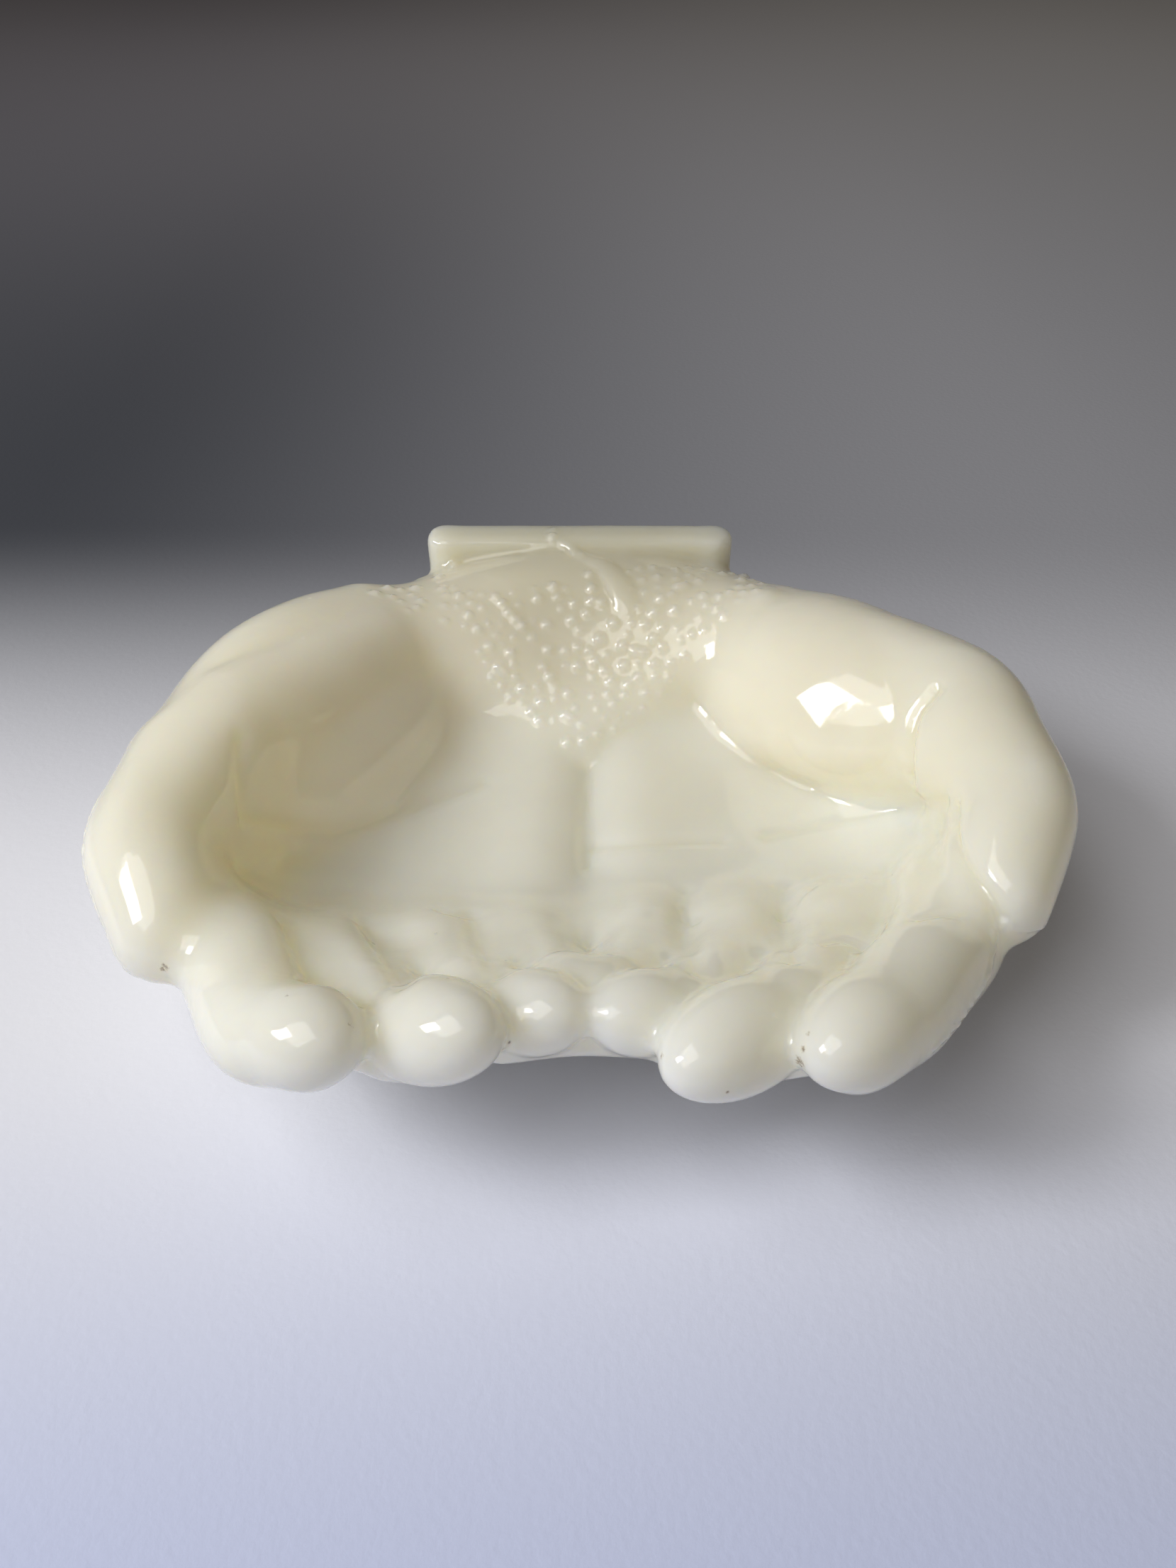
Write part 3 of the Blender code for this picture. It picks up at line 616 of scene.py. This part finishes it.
def inside(x, y, outline):
    """Whether a point seen from above is inside an outline."""
    hit = False
    for (x0, y0), (x1, y1) in zip(outline, outline[1:] + outline[:1]):
        if (y0 > y) != (y1 > y) and x < x0 + (y - y0) * (x1 - x0) / (y1 - y0):
            hit = not hit
    return hit


def camera_axes():
    """The camera's right, up and sight directions."""
    pitch = math.radians(CAMERA_PITCH)
    sight = Vector((0, math.cos(pitch), -math.sin(pitch)))
    up = Vector((0, math.sin(pitch), math.cos(pitch)))
    return Vector((1, 0, 0)), up, sight


def tree_of(skin):
    return BVHTree.FromPolygons([v.co for v in skin.vertices], [p.vertices for p in skin.polygons])


def seen(tree, x, y):
    """The skin's point at a pixel of the photograph, or the point nearest to that sight."""
    right, up, sight = camera_axes()
    across = (x - PHOTO_WIDTH / 2) / FOCAL_PIXELS
    above = (PHOTO_HEIGHT / 2 - y) / FOCAL_PIXELS
    ray = (sight + right * across + up * above).normalized()
    hit = tree.ray_cast(CAMERA_PLACE, ray)[0]
    if hit:
        return hit
    passed = [tree.find_nearest(CAMERA_PLACE + ray * reach) for reach in PASSING_REACHES]
    return min(passed, key=lambda near: near[3])[0]


def add_beads(bm, tree):
    """Bright beads where the photograph shows them, and small ones scattered between."""
    rng = np.random.default_rng(BEAD_SEED)
    beads = [(seen(tree, x, y), BRIGHT_BEAD_RADIUS) for x, y in BRIGHT_BEADS]
    low, high = np.min(BEADED_OUTLINE, axis=0), np.max(BEADED_OUTLINE, axis=0)
    for x, y in rng.uniform(low, high, (BEAD_TRIES, 2)):
        radius = rng.uniform(*SMALL_BEAD_RADII)
        if not inside(x, y, BEADED_OUTLINE):
            continue
        point = tree.ray_cast(Vector((x, y, OVERHEAD)), Vector((0, 0, -1)))[0]
        if noise.noise(point / BEAD_CLUSTER) < BEAD_BARE:
            continue
        if all((point - other).length > BEAD_SPACING for other, size in beads):
            beads.append((point, radius))
    for point, radius in beads:
        normal = tree.find_nearest(point)[1]
        place = Matrix.Translation(point - normal * radius * BEAD_SINK)
        bmesh.ops.create_icosphere(bm, subdivisions=2, radius=radius, matrix=place)


def add_ribbon(bm, tree):
    path = [seen(tree, x, y) for x, y in RIBBON]
    add_limb(bm, path, RIBBON_BREADTHS, RIBBON_DEPTH_RATIO, per_span=RIBBON_SAMPLES)


def closeness(points, line, half_width):
    """How near each point is to a line: 1 on it, falling to nothing past its half width."""
    reach = 3 * half_width
    low, high = np.min(line, axis=0) - reach, np.max(line, axis=0) + reach
    close = np.flatnonzero(np.all((points > low) & (points < high), axis=1))
    best = np.full(len(close), 1e9)
    for start, end in zip(line, line[1:]):
        span = end - start
        t = np.clip((points[close] - start) @ span / (span @ span), 0, 1)
        away = np.linalg.norm(points[close] - start - t[:, None] * span, axis=1)
        best = np.minimum(best, away)
    near = np.zeros(len(points))
    near[close] = np.exp(-((best / half_width) ** 2))
    return near


def traced(tree, line, per_span=5):
    """A line of pixels laid on the skin, as points in millimetres."""
    pixels = smooth_rows(line, per_span)
    return smooth_rows([seen(tree, x, y) for x, y in pixels], 2)


def worked(skin):
    """Press the creases and the flat into the skin, raise the seams and add slow waves."""
    tree = tree_of(skin)
    points = rows_of(skin.vertices, "co", 3)
    normals = rows_of(skin.vertex_normals, "vector", 3)
    lift = np.zeros(len(points))
    for depth, half_width, line in CREASES:
        lift -= depth * closeness(points, traced(tree, line), half_width)
    rng = np.random.default_rng(WAVE_SEED)
    ragged = np.zeros(len(points))
    for _ in range(RAGGED_WAVES):
        wave = rng.normal(size=3)
        wave *= 2 * math.pi / (RAGGED_LENGTH * np.linalg.norm(wave))
        ragged += np.sin(points @ wave + rng.uniform(0, LARGEST_PHASE)) / RAGGED_WAVES ** 0.5
    for height, half_width, line in SEAMS:
        near = closeness(points, traced(tree, line), half_width)
        lift += height * near * (1 + SEAM_RAGGEDNESS * ragged)
    for _ in range(WAVES):
        wave = rng.normal(size=3)
        wave *= 2 * math.pi / (WAVE_LENGTH * rng.uniform(*WAVE_RANGE) * np.linalg.norm(wave))
        phase = rng.uniform(0, LARGEST_PHASE)
        lift += WAVE_HEIGHT * np.sin(points @ wave + phase) / WAVES ** 0.5
    share, reach, pixel, facing = FLAT
    facing = np.array(facing)
    offset = points - np.array(seen(tree, *pixel))
    hold = np.clip(1 - (np.linalg.norm(offset, axis=1) / reach) ** 2, 0, 1)
    flat = -share * (offset @ facing) * hold
    moved = points + normals * lift[:, None] + facing * flat[:, None]
    skin.vertices.foreach_set("co", moved.ravel())
    skin.update()


def thinned(skin, triangles):
    """The skin with no more than a number of triangles, spent first on the lace."""
    obj = bpy.data.objects.new("thinning", skin)
    bpy.context.scene.collection.objects.link(obj)
    plain = obj.vertex_groups.new(name="plain")
    for vert in skin.vertices:
        lace = vert.normal.z > LACE_FACING and inside(vert.co.x, vert.co.y, LACE_OUTLINE)
        plain.add([vert.index], LACE_THINNING if lace else 1.0, "REPLACE")
    skin.calc_loop_triangles()
    decimate = obj.modifiers.new("Thin", "DECIMATE")
    decimate.ratio = triangles / len(skin.loop_triangles)
    decimate.use_collapse_triangulate = True
    decimate.vertex_group = plain.name
    decimate.vertex_group_factor = 1.0
    return baked(obj)


def measured(skin):
    """Store on each vertex how thick the glass is, how much painted shade it takes near the wrists
    and how dirty.
    """
    tree = tree_of(skin)
    points = rows_of(skin.vertices, "co", 3)
    normals = rows_of(skin.vertex_normals, "vector", 3)
    thick = np.empty(len(points))
    for k, (point, normal) in enumerate(zip(points, normals)):
        inward = Vector(normal) * -1
        reach = tree.ray_cast(Vector(point) + inward * UNDER_SURFACE, inward)[3]
        thick[k] = min(reach or 0, THICK) / THICK
    skin.attributes.new("thick", "FLOAT", "POINT").data.foreach_set("value", thick)
    # Painted shade round the wrists: how much of it each vertex takes.
    offset = (points[:, :2] - WRIST_SHADE_CENTRE) / WRIST_SHADE_REACH
    wrist = np.exp(-(offset ** 2).sum(axis=1) ** 2)
    skin.attributes.new("wrist", "FLOAT", "POINT").data.foreach_set("value", wrist)
    dirty = np.zeros(len(points))
    for x, y, radius in DIRT:
        away = np.linalg.norm(points - np.array(seen(tree, x, y)), axis=1)
        dirty = np.maximum(dirty, np.exp(-((away / radius) ** 2)))
    skin.attributes.new("dirty", "FLOAT", "POINT").data.foreach_set("value", dirty)


def node(tree, kind, **settings):
    made = tree.nodes.new(kind)
    for name, value in settings.items():
        setattr(made, name, value)
    return made


def opal_glass():
    material = bpy.data.materials.new("opal_glass")
    material.use_nodes = True
    tree = material.node_tree
    link = tree.links.new
    shader = tree.nodes["Principled BSDF"]
    shader.inputs["Subsurface Weight"].default_value = 1.0
    shader.inputs["Subsurface Radius"].default_value = SCATTER_RADIUS
    shader.inputs["Subsurface Scale"].default_value = SCATTER_SCALE
    shader.inputs["IOR"].default_value = 1.5

    place = node(tree, "ShaderNodeTexCoord").outputs["Object"]
    thick = node(tree, "ShaderNodeAttribute", attribute_name="thick")
    body = node(tree, "ShaderNodeMix", data_type="RGBA")
    body.inputs["A"].default_value = THIN_GLASS
    body.inputs["B"].default_value = THICK_GLASS
    link(thick.outputs["Fac"], body.inputs["Factor"])
    # Painted shade round the wrists darkens the body colour.
    wrist = node(tree, "ShaderNodeAttribute", attribute_name="wrist")
    wrist_shaded = node(tree, "ShaderNodeMix", data_type="RGBA")
    wrist_shaded.inputs["B"].default_value = WRIST_PAINTED_SHADE
    link(wrist.outputs["Fac"], wrist_shaded.inputs["Factor"])
    link(body.outputs["Result"], wrist_shaded.inputs["A"])

    # Cloudy streaks inside the glass
    clouds = node(tree, "ShaderNodeTexNoise")
    clouds.inputs["Scale"].default_value = 45.0
    clouds.inputs["Detail"].default_value = 3.0
    clouds.inputs["Distortion"].default_value = 0.6
    link(place, clouds.inputs["Vector"])
    cloudy = node(tree, "ShaderNodeMapRange")
    cloudy.inputs["From Min"].default_value = 0.3
    cloudy.inputs["From Max"].default_value = 0.7
    cloudy.inputs["To Min"].default_value = 0.96
    cloudy.inputs["To Max"].default_value = 1.03
    link(clouds.outputs["Fac"], cloudy.inputs["Value"])
    streaked = node(tree, "ShaderNodeMix", data_type="RGBA", blend_type="MULTIPLY")
    streaked.inputs["Factor"].default_value = 1.0
    link(wrist_shaded.outputs["Result"], streaked.inputs["A"])
    link(cloudy.outputs["Result"], streaked.inputs["B"])

    # Dirt, broken up into specks
    specks = node(tree, "ShaderNodeTexNoise")
    specks.inputs["Scale"].default_value = 2600.0
    specks.inputs["Detail"].default_value = 2.0
    link(place, specks.inputs["Vector"])
    dirty = node(tree, "ShaderNodeAttribute", attribute_name="dirty")
    speckled = node(tree, "ShaderNodeMath", operation="MULTIPLY")
    link(specks.outputs["Fac"], speckled.inputs[0])
    link(dirty.outputs["Fac"], speckled.inputs[1])
    ragged = node(tree, "ShaderNodeMapRange")
    ragged.inputs["From Min"].default_value = 0.28
    ragged.inputs["From Max"].default_value = 0.5
    ragged.inputs["To Max"].default_value = 0.75
    link(speckled.outputs["Value"], ragged.inputs["Value"])
    soiled = node(tree, "ShaderNodeMix", data_type="RGBA")
    soiled.inputs["B"].default_value = DIRT_COLOUR
    link(ragged.outputs["Result"], soiled.inputs["Factor"])
    link(streaked.outputs["Result"], soiled.inputs["A"])
    link(soiled.outputs["Result"], shader.inputs["Base Color"])

    # Gloss with faint smears, duller where it is dirty
    smears = node(tree, "ShaderNodeTexNoise")
    smears.inputs["Scale"].default_value = 160.0
    smears.inputs["Detail"].default_value = 5.0
    link(place, smears.inputs["Vector"])
    gloss = node(tree, "ShaderNodeMapRange")
    gloss.inputs["From Min"].default_value = 0.35
    gloss.inputs["From Max"].default_value = 0.75
    gloss.inputs["To Min"].default_value = 0.05
    gloss.inputs["To Max"].default_value = 0.11
    link(smears.outputs["Fac"], gloss.inputs["Value"])
    dulled = node(tree, "ShaderNodeMath", operation="ADD", use_clamp=True)
    link(gloss.outputs["Result"], dulled.inputs[0])
    link(ragged.outputs["Result"], dulled.inputs[1])
    link(dulled.outputs["Value"], shader.inputs["Roughness"])

    # Chill marks of the press
    dimples = node(tree, "ShaderNodeTexNoise")
    dimples.inputs["Scale"].default_value = 420.0
    dimples.inputs["Detail"].default_value = 2.0
    link(place, dimples.inputs["Vector"])
    bump = node(tree, "ShaderNodeBump")
    bump.inputs["Strength"].default_value = 0.25
    bump.inputs["Distance"].default_value = 0.00012
    link(dimples.outputs["Fac"], bump.inputs["Height"])
    link(bump.outputs["Normal"], shader.inputs["Normal"])
    return material


def make_hands():
    skin = fused(body_shells(), BODY_VOXEL, BODY_SOFTENING)
    soften(skin, SOFT_PLACES)
    tree = tree_of(skin)
    bm = bmesh.new()
    add_beads(bm, tree)
    add_ribbon(bm, tree)
    bmesh.ops.recalc_face_normals(bm, faces=bm.faces)
    bm.from_mesh(skin)
    skin = fused(bm, FINE_VOXEL, FINE_SOFTENING)
    soften(skin, [(HEALING_ROUNDS, *place[1:]) for place in SOFT_PLACES[:HEALED_PLACES]])
    worked(skin)
    for vert in skin.vertices:
        vert.co.z = max(vert.co.z, FOOT_LEVEL)
    skin = thinned(skin, FINE_TRIANGLES)
    measured(skin)
    skin.transform(Matrix.Scale(METRES, 4) @ Matrix.Translation(MOVED))
    skin.shade_smooth()
    skin.materials.clear()
    skin.materials.append(opal_glass())
    skin.name = "glass_hands"
    hands = bpy.data.objects.new("glass_hands", skin)
    bpy.context.scene.collection.objects.link(hands)
    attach(hands, "root")
    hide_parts("cupped_hands")


def make_table():
    """A wide sheet of pale paper, with bluish shade painted in front of the dish and dark shade
    painted behind it.
    """
    bm = bmesh.new()
    bmesh.ops.create_grid(bm, x_segments=1, y_segments=1, size=TABLE_HALF_BREADTH)
    mesh = bpy.data.meshes.new("table")
    bm.to_mesh(mesh)
    bm.free()
    material = bpy.data.materials.new("table")
    material.use_nodes = True
    tree = material.node_tree
    link = tree.links.new
    shader = tree.nodes["Principled BSDF"]
    shader.inputs["Roughness"].default_value = 0.9
    place = node(tree, "ShaderNodeTexCoord").outputs["Object"]
    axes = node(tree, "ShaderNodeSeparateXYZ")
    link(place, axes.inputs["Vector"])

    def fade(along, between, near, far):
        """A colour that turns from near to far between two places along an axis."""
        part = node(tree, "ShaderNodeMapRange", interpolation_type="SMOOTHSTEP")
        part.inputs["From Min"].default_value = between[0]
        part.inputs["From Max"].default_value = between[1]
        link(axes.outputs[along], part.inputs["Value"])
        mix = node(tree, "ShaderNodeMix", data_type="RGBA")
        link(part.outputs["Result"], mix.inputs["Factor"])
        for socket, colour in (("A", near), ("B", far)):
            if isinstance(colour, tuple):
                mix.inputs[socket].default_value = colour
            else:
                link(colour, mix.inputs[socket])
        return mix.outputs["Result"]

    # Painted shade over the paper: bluish in front, dark behind and lighter again far off.
    front = fade("Y", FRONT_TO_MIDDLE, PAINTED_SHADE_FRONT, PAPER_MIDDLE)
    back = fade("X", BACK_LEFT_TO_RIGHT, PAINTED_SHADE_BACK_LEFT, PAINTED_SHADE_BACK_RIGHT)
    far = fade("X", FAR_LEFT_TO_RIGHT, PAINTED_SHADE_FAR_LEFT, PAINTED_SHADE_FAR_RIGHT)
    behind = fade("Y", BACK_TO_FAR, back, far)
    link(fade("Y", MIDDLE_TO_BACK, front, behind), shader.inputs["Base Color"])
    fibres = node(tree, "ShaderNodeTexNoise")
    fibres.inputs["Scale"].default_value = 900.0
    fibres.inputs["Detail"].default_value = 4.0
    link(place, fibres.inputs["Vector"])
    bump = node(tree, "ShaderNodeBump")
    bump.inputs["Strength"].default_value = 0.3
    bump.inputs["Distance"].default_value = 0.0002
    link(fibres.outputs["Fac"], bump.inputs["Height"])
    link(bump.outputs["Normal"], shader.inputs["Normal"])
    mesh.materials.append(material)
    table = bpy.data.objects.new("table", mesh)
    bpy.context.scene.collection.objects.link(table)


def make_lamp(name, place, size, power, colour):
    lamp = bpy.data.lights.new(name, "AREA")
    lamp.shape = "RECTANGLE"
    lamp.size, lamp.size_y = size
    lamp.energy = power
    lamp.color = colour
    obj = bpy.data.objects.new(name, lamp)
    bpy.context.scene.collection.objects.link(obj)
    obj.location = place
    obj.rotation_euler = (LAMPS_AIM - Vector(place)).to_track_quat("-Z", "Y").to_euler()


def make_light():
    for lamp in LAMPS:
        make_lamp(*lamp)
    world = bpy.data.worlds.new("room")
    bpy.context.scene.world = world
    world.use_nodes = True
    background = world.node_tree.nodes["Background"]
    background.inputs["Color"].default_value = ROOM_COLOUR
    background.inputs["Strength"].default_value = ROOM_STRENGTH


def make_camera():
    camera = bpy.data.cameras.new("camera")
    camera.sensor_fit = "VERTICAL"
    camera.sensor_height = 36.0
    camera.lens = FOCAL_PIXELS / PHOTO_HEIGHT * camera.sensor_height
    camera.clip_start = 0.005
    obj = bpy.data.objects.new("camera", camera)
    bpy.context.scene.collection.objects.link(obj)
    obj.location = (CAMERA_PLACE + MOVED) * METRES
    obj.rotation_euler = (math.radians(90 - CAMERA_PITCH), 0, 0)
    bpy.context.scene.camera = obj


make_hands()
make_table()
make_light()
make_camera()
bpy.context.scene.view_settings.view_transform = "Standard"

bpy.context.view_layer.update()
